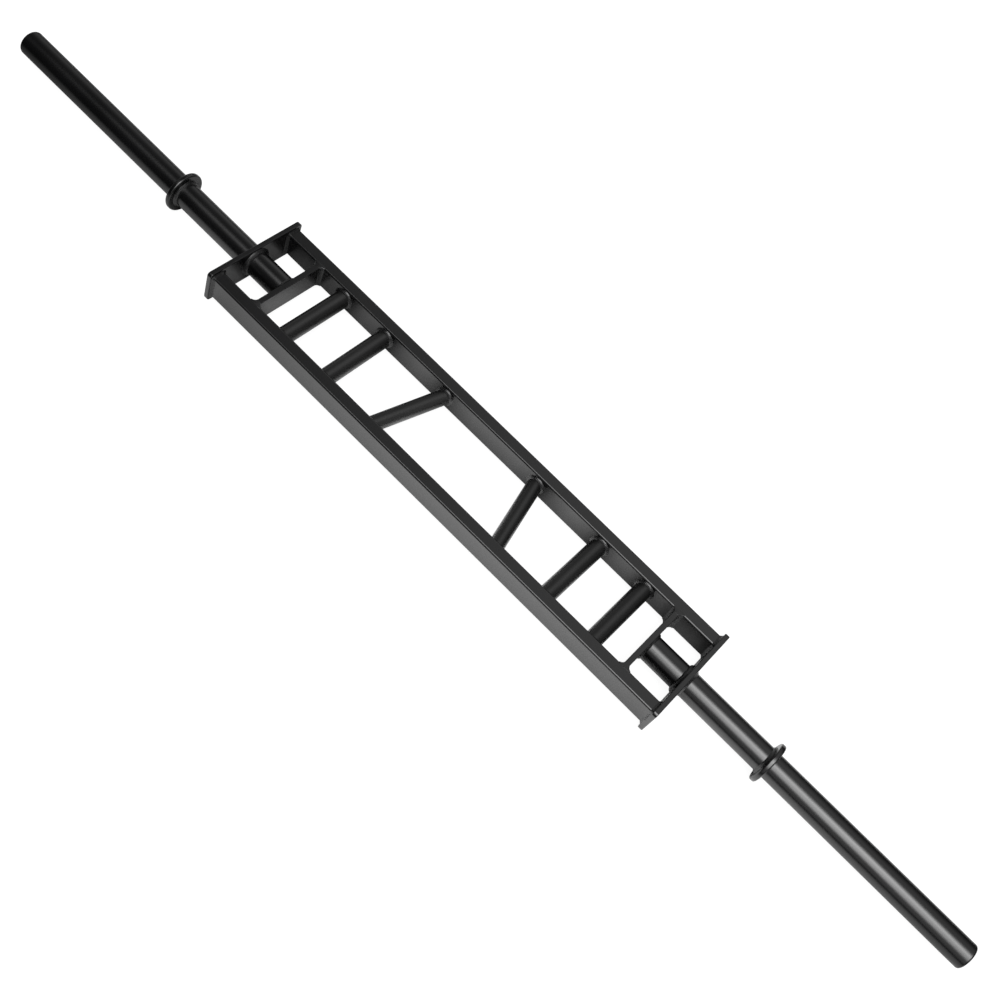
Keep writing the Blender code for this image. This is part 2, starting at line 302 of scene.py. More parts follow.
COATS = {
    # The frame's coat. A coat's real peel is about 2 mm across and its speckle near 0.3 mm. All the
    # coats' patterns are drawn coarser, this one's at 4 mm and 1.5 mm, so that they show at the
    # picture's 2 mm to a pixel.
    Coat.FRAME: PowderCoat(
        name="powder_coat_satin_black",
        shade="#070707",
        dust_shade="#0b0b0c",
        roughness=0.18,
        swing=0.04,
        peel_size=0.004,
        peel_depth=0.00006,
        speckle_size=0.0015,
        speckle_depth=0.00002,
    ),
    # The grips' coat, a coarser powder for the hands. It shows no clear highlight, only soft blotches.
    Coat.GRIP: PowderCoat(
        name="powder_coat_textured_black",
        shade="#040404",
        dust_shade="#090909",
        roughness=0.40,
        swing=0.06,
        peel_size=0.005,
        peel_depth=0.00009,
        speckle_size=0.0015,
        speckle_depth=0.00002,
    ),
    # The sleeves' and collars' coat, even and without blotches, because they are turned and not welded.
    Coat.SLEEVE: PowderCoat(
        name="powder_coat_smooth_black",
        shade="#040404",
        dust_shade="#070708",
        roughness=0.24,
        swing=0.03,
        peel_size=0.005,
        peel_depth=0.00004,
        speckle_size=0.0015,
        speckle_depth=0.000005,
    ),
    # The same powder over rippled weld metal, where it gathers and bakes a little rougher.
    Coat.WELD: PowderCoat(
        name="powder_coat_over_weld",
        shade="#080808",
        dust_shade="#0d0d0e",
        roughness=0.26,
        swing=0.06,
        peel_size=0.0022,
        peel_depth=0.00008,
        speckle_size=0.0012,
        speckle_depth=0.00003,
    ),
    # The coat of the discs in the sleeves' mouths, which are flat and a little duller.
    Coat.PLUG: PowderCoat(
        name="powder_coat_end_disc",
        shade="#070707",
        dust_shade="#0a0a0a",
        roughness=0.36,
        swing=0.05,
        peel_size=0.004,
        peel_depth=0.00006,
        speckle_size=0.0015,
        speckle_depth=0.00002,
    ),
}


@dataclass
class Workshop:
    """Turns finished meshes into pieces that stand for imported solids."""

    layout: Layout
    materials: dict[Coat, bpy.types.Material]
    bead_smooth_angle: float = 70.0

    def piece(
        self,
        bm: bmesh.types.BMesh,
        name: str,
        coat: Coat,
        stands_for: Sequence[str],
        smooth_angle: float = 40.0,
        even: bool = False,
    ) -> bpy.types.Object:
        """Make a piece of a mesh, coat it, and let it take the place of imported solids.

        Args:
            bm: The finished shape, which is freed.
            name: The piece's name.
            coat: Its finish.
            stands_for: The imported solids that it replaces.
            smooth_angle: Edges sharper than this, in degrees, stay sharp.
            even: Whether broad flats keep their own normals beside rounded edges.

        Returns:
            The piece.
        """
        bmesh.ops.remove_doubles(bm, verts=bm.verts[:], dist=SAME_POINT)
        bmesh.ops.recalc_face_normals(bm, faces=bm.faces[:])
        mesh = bpy.data.meshes.new(name)
        bm.to_mesh(mesh)
        bm.free()
        mesh.shade_smooth()
        mesh.set_sharp_from_angle(angle=math.radians(smooth_angle))
        mesh.materials.append(self.materials[coat])
        obj = bpy.data.objects.new(name, mesh)
        bpy.context.scene.collection.objects.link(obj)
        if even:
            weighted = obj.modifiers.new("even_flats", "WEIGHTED_NORMAL")
            weighted.keep_sharp = True
        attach(obj, "root")
        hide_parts(*stands_for)
        LOG.info("%s: %d faces, stands for %s", name, len(mesh.polygons), ", ".join(stands_for))
        return obj

    def bead(self, bm: bmesh.types.BMesh, name: str, stands_for: str) -> bpy.types.Object:
        """Make a piece of weld metal, whose ripples are shaded smooth.

        Args:
            bm: The finished bead, which is freed.
            name: The piece's name.
            stands_for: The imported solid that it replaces.

        Returns:
            The piece.
        """
        return self.piece(bm, name, Coat.WELD, [stands_for], self.bead_smooth_angle)


def block(size: Vector, centre: Vector) -> bmesh.types.BMesh:
    """Make a rectangular block.

    Args:
        size: Its length along each axis.
        centre: Its middle.

    Returns:
        The block's mesh.
    """
    bm = bmesh.new()
    bmesh.ops.create_cube(bm, size=1.0)
    bmesh.ops.scale(bm, vec=size, verts=bm.verts[:])
    bmesh.ops.translate(bm, vec=centre, verts=bm.verts[:])
    return bm


def round_edges(
    bm: bmesh.types.BMesh, chosen: Callable[[bmesh.types.BMEdge], bool], radius: float, steps: int
) -> None:
    """Round the edges that a test picks.

    Args:
        bm: The mesh to work on.
        chosen: The test.
        radius: The round's radius.
        steps: How many facets go round it.
    """
    edges = [edge for edge in bm.edges if chosen(edge)]
    bmesh.ops.bevel(
        bm, geom=edges, offset=radius, segments=steps, profile=0.5, affect="EDGES", material=-1
    )


def runs_along(axis: int) -> Callable[[bmesh.types.BMEdge], bool]:
    """Give a test for edges that run along one axis."""

    def test(edge: bmesh.types.BMEdge) -> bool:
        """Whether the edge is parallel to the axis."""
        span = edge.verts[1].co - edge.verts[0].co
        return abs(span[axis]) > PARALLEL * span.length

    return test


def spin_profile(profile: Section, sides: int, closed: bool = True) -> bmesh.types.BMesh:
    """Turn a profile about the X axis.

    Args:
        profile: (x, radius) points in order.
        sides: How many facets go round.
        closed: Whether the last point joins the first.

    Returns:
        The turned mesh.
    """
    bm = bmesh.new()
    verts = [bm.verts.new((x, 0.0, radius)) for x, radius in profile]
    pairs = list(zip(verts, verts[1:]))
    if closed:
        pairs.append((verts[-1], verts[0]))
    edges = [bm.edges.new(pair) for pair in pairs]
    bmesh.ops.spin(
        bm,
        geom=verts + edges,
        cent=(0, 0, 0),
        axis=(1, 0, 0),
        angle=2 * math.pi,
        steps=sides,
        use_merge=True,
    )
    return bm


def arc(centre: tuple[float, float], radius: float, start: float, end: float, steps: int) -> Section:
    """Give points on an arc.

    Args:
        centre: The arc's middle.
        radius: Its radius.
        start: The first angle in degrees.
        end: The last angle in degrees.
        steps: How many facets it has.

    Returns:
        The points, both ends among them.
    """
    angles = [math.radians(start + (end - start) * i / steps) for i in range(steps + 1)]
    return [(centre[0] + radius * math.cos(a), centre[1] + radius * math.sin(a)) for a in angles]


def sweep(rings: Sequence[Sequence[Vector]], closed: bool) -> bmesh.types.BMesh:
    """Extrude a closed loop of edges from ring to ring.

    Args:
        rings: The loop's points at each stop of its way.
        closed: Whether the last ring joins the first. Otherwise both ends are capped.

    Returns:
        The swept mesh.
    """
    bm = bmesh.new()
    front = [bm.verts.new(point) for point in rings[0]]
    first = front
    edges = [bm.edges.new((front[i - 1], front[i])) for i in range(len(front))]
    first_edges = edges
    for ring in list(rings[1:]) + ([rings[0]] if closed else []):
        grown = bmesh.ops.extrude_edge_only(bm, edges=edges)["geom"]
        fresh = {item for item in grown if isinstance(item, bmesh.types.BMVert)}
        edges = [
            item for item in grown
            if isinstance(item, bmesh.types.BMEdge) and fresh.issuperset(item.verts)
        ]
        moved = []
        for vert, point in zip(front, ring):
            partner = next(e.other_vert(vert) for e in vert.link_edges if e.other_vert(vert) in fresh)
            partner.co = point
            moved.append(partner)
        front = moved
    if closed:
        bmesh.ops.remove_doubles(bm, verts=first + front, dist=SAME_RING)
    else:
        bmesh.ops.contextual_create(bm, geom=first_edges)
        bmesh.ops.contextual_create(bm, geom=edges)
    return bm


@dataclass(frozen=True)
class Bead:
    """A run of weld metal in an inside corner: a fillet of overlapping ripples.

    The legs wander along the run, and each ripple is a low ridge that lags at the middle of the face.
    The seed is any number, and beads with different seeds wander differently.
    """

    leg: float
    crown: float = 0.05
    pitch: float = 0.0027
    ripple: float = 0.00035
    ripple_lag: float = 0.8
    ripple_middle: float = 0.7
    wander: float = 0.10
    wander_length: float = 0.009
    wander_middle: float = 0.35
    jitter: float = 0.35
    jitter_length: float = 0.006
    sink: float = 0.0002
    face_points: int = 8
    stops_per_ripple: int = 5
    seed: float = 0.0

    def stray(self, way: float, lane: float) -> float:
        """Give smooth noise along the run.

        Args:
            way: How far along the run, in the noise's own lengths.
            lane: Which of the run's noises it is. Lanes far apart don't follow each other.

        Returns:
            The noise there, from -1 to 1.
        """
        return noise.noise(Vector((way, self.seed, lane)))

    def section(self, travel: float) -> Section:
        """Give the fillet's outline where the torch had gone a certain way.

        Args:
            travel: The length of bead laid so far.

        Returns:
            (along, out) points: the root, then the face from one toe to the other.
        """
        out_lane, along_lane, jitter_lane = 0.0, 9.0, 4.0
        slow = travel / self.wander_length
        leg_out = self.leg * (1 + self.wander * (self.stray(slow, out_lane) - self.wander_middle))
        leg_along = self.leg * (1 + self.wander * (self.stray(slow, along_lane) - self.wander_middle))
        points = [(-self.sink, -self.sink)]
        for i in range(self.face_points + 1):
            part = i / self.face_points
            swell = math.sin(math.pi * part)
            phase = (travel - self.pitch * self.ripple_lag * swell) / self.pitch
            phase += self.jitter * self.stray(travel / self.jitter_length, jitter_lane)
            ridge = 1 - (2 * (phase - math.floor(phase)) - 1) ** 2
            lift = self.crown * self.leg * swell + self.ripple * (ridge - self.ripple_middle) * swell
            points.append(
                (
                    -self.sink + (leg_along + self.sink) * part + lift,
                    leg_out - (leg_out + self.sink) * part + lift,
                )
            )
        return points

    def ring(self, face: float, way: int, radius: float) -> list[list[Vector]]:
        """Give the rings of a bead round a tube that stands on a flat face.

        Args:
            face: Where the flat face is along X.
            way: 1 where the bead lies beyond the face, -1 where it lies before it.
            radius: The tube's radius.

        Returns:
            The bead's outline at each stop.
        """
        round_trip = 2 * math.pi * (radius + self.leg / 2)
        ripples = round(round_trip / self.pitch)
        whole = replace(self, pitch=round_trip / ripples)
        steps = ripples * self.stops_per_ripple
        rings = []
        for i in range(steps):
            angle = 2 * math.pi * i / steps
            travel = whole.pitch * i / self.stops_per_ripple
            rings.append(
                [
                    Vector((
                        face + way * along,
                        -(radius + out) * math.sin(angle),
                        -(radius + out) * math.cos(angle),
                    ))
                    for along, out in whole.section(travel)
                ]
            )
        return rings


@dataclass
class Rails:
    """The two box rails."""

    shop: Workshop
    corner_steps: int = 8

    def build(self) -> None:
        """Make both rails with rounded corners. Their hollows are closed off and never seen."""
        size = self.shop.layout
        length = 2 * (size.end_plate_face - size.gap)
        for word, way in (("front", -1), ("rear", 1)):
            bm = block(
                Vector((length, size.rail_width, size.rail_height)),
                Vector((0, way * size.rail_centre, 0)),
            )
            round_edges(bm, runs_along(0), size.rail_corner, self.corner_steps)
            self.shop.piece(bm, word + "_rail_tube", Coat.FRAME, [word + "_rail"], even=True)


@dataclass
class Plates:
    """The end plates, which the sleeves pass through, and the inner plates that they butt against."""

    shop: Workshop
    side_lip: float = 0.0068
    top_lip: float = 0.0096
    end_corner: float = 0.007
    end_edge: float = 0.0014
    inner_edge: float = 0.0009
    corner_steps: int = 8
    edge_steps: int = 4

    def end_plate(self, side: Side) -> None:
        """Make one end plate.

        Args:
            side: The end that it closes.
        """
        size = self.shop.layout
        bm = block(
            Vector((
                size.end_plate_thickness,
                2 * (size.rail_outer_face + self.side_lip),
                size.rail_height + 2 * self.top_lip,
            )),
            Vector((size.end_plate_face + size.end_plate_thickness / 2, 0, 0)),
        )
        lengthwise = runs_along(0)
        round_edges(bm, lengthwise, self.end_corner, self.corner_steps)
        round_edges(bm, lambda edge: not lengthwise(edge), self.end_edge, self.edge_steps)
        bm.transform(side.turn)
        name = side.value + "_end_plate"
        self.shop.piece(bm, name + "_steel", Coat.FRAME, [name], even=True)

    def inner_plate(self, side: Side) -> None:
        """Make one inner plate.

        Args:
            side: The end that it is on.
        """
        size = self.shop.layout
        bm = block(
            Vector((size.inner_plate_thickness, 2 * size.rail_inner_face, size.rail_height)),
            Vector((size.inner_plate_face + size.inner_plate_thickness / 2, 0, 0)),
        )
        round_edges(bm, runs_along(1), self.inner_edge, self.edge_steps)
        bm.transform(side.turn)
        self.shop.piece(
            bm, side.value + "_inner_plate_steel", Coat.FRAME, [side.value + "_inner_plate"], even=True
        )

    def build(self) -> None:
        """Make the four plates."""
        for side in Side:
            self.end_plate(side)
            self.inner_plate(side)


@dataclass
class Sleeves:
    """The sleeve tubes with their collars and end discs.

    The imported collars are 40.5 mm in radius at their facets' corners. These are 40.4 mm, so that both
    have the same height.
    """

    shop: Workshop
    wall: float = 0.005
    rim_round: float = 0.004
    rim_steps: int = 8
    disc_edge: float = 0.0006
    disc_edge_steps: int = 3
    disc_thickness: float = 0.006
    collar_radius: float = 0.0404
    collar_round: float = 0.003
    collar_steps: int = 6
    sides: int = 128

    def tube(self, side: Side) -> None:
        """Turn one sleeve tube with its rounded rim.

        Args:
            side: The end that it is on.
        """
        size = self.shop.layout
        start = size.inner_plate_face + size.inner_plate_thickness + size.gap
        bore = size.sleeve_radius - self.wall
        middle = (size.half_length - self.rim_round, size.sleeve_radius - self.rim_round)
        rim = arc(middle, self.rim_round, 90, 0, self.rim_steps)
        butt = [(start, bore), (start, size.sleeve_radius)]
        bm = spin_profile(butt + rim + [(size.half_length, bore)], self.sides)
        bm.transform(side.turn)
        name = side.value + "_sleeve"
        self.shop.piece(bm, name + "_pipe", Coat.SLEEVE, [name + "_tube"], even=True)

    def disc(self, side: Side) -> None:
        """Turn the disc that closes a sleeve's mouth.

        Args:
            side: The end that it is on.
        """
        size = self.shop.layout
        radius = size.sleeve_radius - self.wall - size.gap
        middle = (size.half_length - self.disc_edge, radius - self.disc_edge)
        edge = arc(middle, self.disc_edge, 90, 0, self.disc_edge_steps)
        back = size.half_length - self.disc_thickness
        profile = [(back, 0.0), (back, radius)] + edge + [(size.half_length, 0.0)]
        bm = spin_profile(profile, self.sides, closed=False)
        bm.transform(side.turn)
        name = side.value + "_sleeve_plug"
        self.shop.piece(bm, side.value + "_end_disc", Coat.PLUG, [name], even=True)

    def collar(self, side: Side) -> None:
        """Turn one collar with rounded rims.

        Args:
            side: The end that it is on.
        """
        size = self.shop.layout
        bore = size.sleeve_radius + size.gap
        inner = size.collar_stop - size.collar_thickness
        outer = size.collar_stop
        middle = self.collar_radius - self.collar_round
        profile = (
            [(inner, bore)]
            + arc((inner + self.collar_round, middle), self.collar_round, 180, 90, self.collar_steps)
            + arc((outer - self.collar_round, middle), self.collar_round, 90, 0, self.collar_steps)
            + [(outer, bore)]
        )
        bm = spin_profile(profile, self.sides)
        bm.transform(side.turn)
        name = side.value + "_collar"
        self.shop.piece(bm, name + "_ring", Coat.SLEEVE, [name], even=True)

    def build(self) -> None:
        """Make both ends' sleeves."""
        for side in Side:
            self.tube(side)
            self.disc(side)
            self.collar(side)


@dataclass
class Grips:
    """Two straight pairs of pipe grips and the angled pair, with the welds at their ends."""

    shop: Workshop
    outer_x: float = 0.3805
    middle_x: float = 0.272
    angled_x: float = 0.1345
    straight_radius: float = 0.0168
    angled_radius: float = 0.0149
    wall: float = 0.0034
    lean: float = math.radians(14.3)
    weld_leg: float = 0.005
    weld_crown: float = 0.08
    seeds_per_metre: float = 100.0
    sides: int = 96

    def across(self, lean: float) -> Matrix:
        """Carry what was turned about X onto a grip, with its ends in line with the rails.

        Args:
            lean: How far the grip leans from square, in radians.

        Returns:
            The matrix.
        """
        slant = Matrix.Identity(4)
        slant[0][0] = 1 / math.cos(lean)
        slant[0][1] = -math.tan(lean)
        return slant @ Matrix.Rotation(math.pi / 2, 4, "Z")

    def grip(self, side: Side, kind: str, x: float, radius: float, lean: float) -> None:
        """Make one grip and its two weld beads.

        Args:
            side: The end that it is on.
            kind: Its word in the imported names.
            x: How far its middle is from the bar's middle.
            radius: Its radius.
            lean: How far it leans from square, in radians.
        """
        name = side.value + "_" + kind
        end = self.shop.layout.rail_inner_face
        spot = Matrix.Translation((side.sign * x, 0, 0))
        across = self.across(side.sign * lean)
        bore = radius - self.wall
        bm = spin_profile([(-end, bore), (-end, radius), (end, radius), (end, bore)], self.sides)
        bm.transform(spot @ across)
        self.shop.piece(bm, name + "_pipe", Coat.GRIP, [name])
        for place, turn in (("rear", 0.0), ("front", math.pi)):
            seed = x * self.seeds_per_metre + side.sign + turn
            bead = Bead(self.weld_leg, crown=self.weld_crown, seed=seed)
            bm = sweep(bead.ring(end, -1, radius), True)
            bm.transform(spot @ Matrix.Rotation(turn, 4, "Z") @ across)
            self.shop.bead(bm, name + "_" + place + "_bead", name + "_" + place + "_weld")

    def build(self) -> None:
        """Make the six grips."""
        for side in Side:
            self.grip(side, "outer_grip", self.outer_x, self.straight_radius, 0.0)
            self.grip(side, "middle_grip", self.middle_x, self.straight_radius, 0.0)
            self.grip(side, "angled_grip", self.angled_x, self.angled_radius, self.lean)


@dataclass
class EndWelds:
    """The weld metal of the two ends.

    A leg is how far a bead reaches from the corner. A crown is how far its face swells, as a part of
    the leg, and a negative one hollows it.
    """

    shop: Workshop
    low_ripple: float = 0.0003
    high_ripple: float = 0.0005
    collar_leg: float = 0.005
    inside_leg: float = 0.007
    inside_crown: float = 0.10
    outside_leg: float = 0.0045
    butt_leg: float = 0.0045
    butt_wander: float = 0.25
    butt_rise: float = 0.0008
    rail_leg: float = 0.0052
    rail_crown: float = -0.06
    rail_corner_steps: int = 8
    pocket_leg: float = 0.008
    hand_leg: float = 0.007
    corner_crown: float = -0.13
    corner_wander: float = 0.06
    corner_reach: float = math.radians(80)
    corner_stops: int = 90
    cap_round: float = 0.0012
    cap_round_steps: int = 4
    cap_curve_steps: int = 8
    cap_lift: float = 0.0001
    cap_depth: float = 0.0034
    sleeve_seed: float = 3.0
    butt_seed_step: float = 7.0
    rail_seed: float = 5.0
    corner_seed: float = 11.0
    pocket_seed_step: float = 4.0

    def put(self, side: Side, bm: bmesh.types.BMesh, node: str) -> None:
        """Turn a bead into place and make it a piece.

        Args:
            side: The end that it is on.
            bm: The bead, built for the right end.
            node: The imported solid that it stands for, less the word for the end.
        """
        bm.transform(side.turn)
        name = side.value + "_" + node
        self.shop.bead(bm, name.replace("_weld", "_bead"), name)

    def sleeve_rings(self, side: Side) -> None:
        """Lay the beads round a sleeve: at its collar, on both faces of the end plate and at its butt.

        Args:
            side: The end that it is on.
        """
        size = self.shop.layout
        radius = size.sleeve_radius
        outside = size.end_plate_face + size.end_plate_thickness
        collar_back = size.collar_stop - size.collar_thickness
        seed = self.sleeve_seed * side.sign
        collar = Bead(self.collar_leg, seed=seed)
        outer = Bead(self.outside_leg, crown=0.0, seed=seed + 1)
        inner = Bead(self.inside_leg, crown=self.inside_crown, ripple=self.high_ripple, seed=seed + 2)
        rings = (
            ("collar_weld", collar, collar_back, -1),
            ("end_plate_outer_weld", outer, outside, 1),
            ("end_plate_inner_weld", inner, size.end_plate_face, -1),
        )
        for node, bead, face, way in rings:
            self.put(side, sweep(bead.ring(face, way, radius), True), node)
        seed += self.butt_seed_step
        bead = Bead(self.butt_leg, wander=self.butt_wander, ripple=self.high_ripple, seed=seed)
        rings = bead.ring(size.inner_plate_face + size.inner_plate_thickness, 1, radius)
        for ring in rings:
            for point in ring:
                reach = math.hypot(point.y, point.z)
                room = size.top * reach / max(abs(point.z), size.gap) + self.butt_rise - radius
                share = (radius + (reach - radius) * min(1.0, room / self.butt_leg)) / reach
                point.y *= share
                point.z *= share
        self.put(side, sweep(rings, True), "sleeve_butt_weld")

    def rail_ring(self, side: Side, place: int) -> None:
        """Lay the bead round a rail where it meets the end plate.

        Args:
            side: The end that it is on.
            place: -1 for the right end's front rail, 1 for its rear rail.
        """
        size = self.shop.layout
        seed = self.rail_seed * side.sign + place
        bead = Bead(self.rail_leg, crown=self.rail_crown, ripple=self.low_ripple, seed=seed)
        half_y = size.rail_width / 2 - size.rail_corner
        half_z = size.rail_height / 2 - size.rail_corner
        step = bead.pitch / bead.stops_per_ripple
        quarter_turn = math.pi / 2
        rings = []
        travel = 0.0
        corners = ((1, 1), (-1, 1), (-1, -1), (1, -1))
        for quarter, (way_y, way_z) in enumerate(corners):
            middle = Vector((0, place * size.rail_centre + way_y * half_y, way_z * half_z))
            run = 2 * (half_y if quarter % 2 == 0 else half_z)
            turned = quarter_turn * (quarter + 1)
            ahead = Vector((0, -math.sin(turned), math.cos(turned)))
            around = self.rail_corner_steps
            stops = [(quarter_turn * (quarter + i / around), 0.0) for i in range(around)]
            count = round(run / step)
            stops += [(turned, run * i / count) for i in range(count)]
            for angle, gone in stops:
                out_way = Vector((0, math.cos(angle), math.sin(angle)))
                foot = middle + out_way * size.rail_corner + ahead * gone
                rings.append(
                    [
                        foot + out_way * out - Vector((along - size.end_plate_face, 0, 0))
                        for along, out in bead.section(travel)
                    ]
                )
                travel += step
        rail = "rear" if place * side.sign > 0 else "front"
        self.put(side, sweep(rings, True), rail + "_rail_weld")

    def corner_bead(
        self, face: float, way: int, place: int, leg: float, seed: float
    ) -> bmesh.types.BMesh:
        """Lay an upright bead in the corner between the right inner plate and a rail.

        Args:
            face: Where the plate's face is along X.
            way: 1 outside the plate, -1 inside it.
            place: -1 at the front rail, 1 at the rear rail.
            leg: The fillet's leg.
            seed: A number that makes this bead's wander its own.

        Returns:
            The bead. Over the rail's rounded corner its side follows the round.
        """
        size = self.shop.layout
        bead = Bead(
            leg,
            crown=self.corner_crown,
            ripple=self.low_ripple,
            wander=self.corner_wander,
            seed=seed,
        )
        flat = size.top - size.rail_corner
        reach = size.rail_corner * math.sin(self.corner_reach)
        rings = []
        for i in range(self.corner_stops + 1):
            height = (flat + reach) * (2 * i / self.corner_stops - 1)
            over = max(0.0, abs(height) - flat)
            fall = size.rail_corner - math.sqrt(size.rail_corner**2 - over**2)
            ring = []
            for along, out in bead.section(height + flat + reach):
                spread = fall * max(0.0, (leg - out) / leg)
                across = place * (size.rail_inner_face - out + spread)
                ring.append(Vector((face + way * along, across, height)))
            rings.append(ring)
        return sweep(rings, False)

    def cap(self, level: int, place: int) -> bmesh.types.BMesh:
        """Make the weld that closes the seam over the end of the right inner plate.

        Args:
            level: 1 for the top, -1 for the underside.
            place: -1 at the front rail, 1 at the rear rail.

        Returns:
            A low cap whose outline follows the two corner beads and the plate between them.
        """
        size = self.shop.layout
        inner = size.inner_plate_face
        outer = inner + size.inner_plate_thickness
        wall = size.rail_inner_face
        outline = [(inner - self.hand_leg, wall + size.rail_corner)]
        for leg, face, way, order in ((self.hand_leg, inner, -1, 1), (self.pocket_leg, outer, 1, -1)):
            curve = []
            for i in range(self.cap_curve_steps + 1):
                part = i / self.cap_curve_steps
                dip = self.corner_crown * leg * math.sin(math.pi * part)
                curve.append((face + way * (leg * (1 - part) + dip), wall - (leg * part + dip)))
            outline += curve[::order]
        outline.append((outer + self.pocket_leg, wall + size.rail_corner))
        bm = bmesh.new()
        low = size.top - self.cap_depth
        face = bm.faces.new([bm.verts.new((x, place * y, level * low)) for x, y in outline])
        grown = bmesh.ops.extrude_face_region(bm, geom=[face])["geom"]
        moved = [item for item in grown if isinstance(item, bmesh.types.BMVert)]
        bmesh.ops.translate(bm, verts=moved, vec=(0, 0, level * (self.cap_depth + self.cap_lift)))
        bmesh.ops.recalc_face_normals(bm, faces=bm.faces[:])
        rim = set(moved)
        round_edges(bm, lambda edge: rim.issuperset(edge.verts), self.cap_round, self.cap_round_steps)
        return bm

    def inner_plate_corners(self, side: Side, place: int) -> None:
        """Lay the beads at one end of an inner plate, and the caps over its seam.

        Args:
            side: The end that it is on.
            place: -1 at the right end's front rail, 1 at its rear rail.
        """
        size = self.shop.layout
        rail = "rear" if place * side.sign > 0 else "front"
        seed = self.corner_seed * side.sign + place
        outer = size.inner_plate_face + size.inner_plate_thickness
        bm = self.corner_bead(size.inner_plate_face, -1, place, self.hand_leg, seed)
        self.put(side, bm, "inner_plate_" + rail + "_inner_weld")
        bm = self.corner_bead(outer, 1, place, self.pocket_leg, seed + self.pocket_seed_step)
        for level in (1, -1):
            cap = self.cap(level, place)
            mesh = bpy.data.meshes.new("cap")
            cap.to_mesh(mesh)
            cap.free()
            bm.from_mesh(mesh)
            bpy.data.meshes.remove(mesh)
        self.put(side, bm, "inner_plate_" + rail + "_outer_weld")

    def build(self) -> None:
        """Lay every bead of both ends."""
        for side in Side:
            self.sleeve_rings(side)
            for place in (-1, 1):
                self.rail_ring(side, place)
                self.inner_plate_corners(side, place)


@dataclass(frozen=True)
class Glow:
    """A soft light of the studio, painted on the far surroundings.

    It is strongest where it lies and falls off round it, with its spread in degrees.
    """

    name: str
    towards: tuple[float, float, float]
    spread: float
    strength: float


@dataclass(frozen=True)
class Pool:
    """A pool of light on the floor, strongest at its centre and gone a few reaches away."""

    name: str
    centre: tuple[float, float, float]
    reach: tuple[float, float]
    strength: float


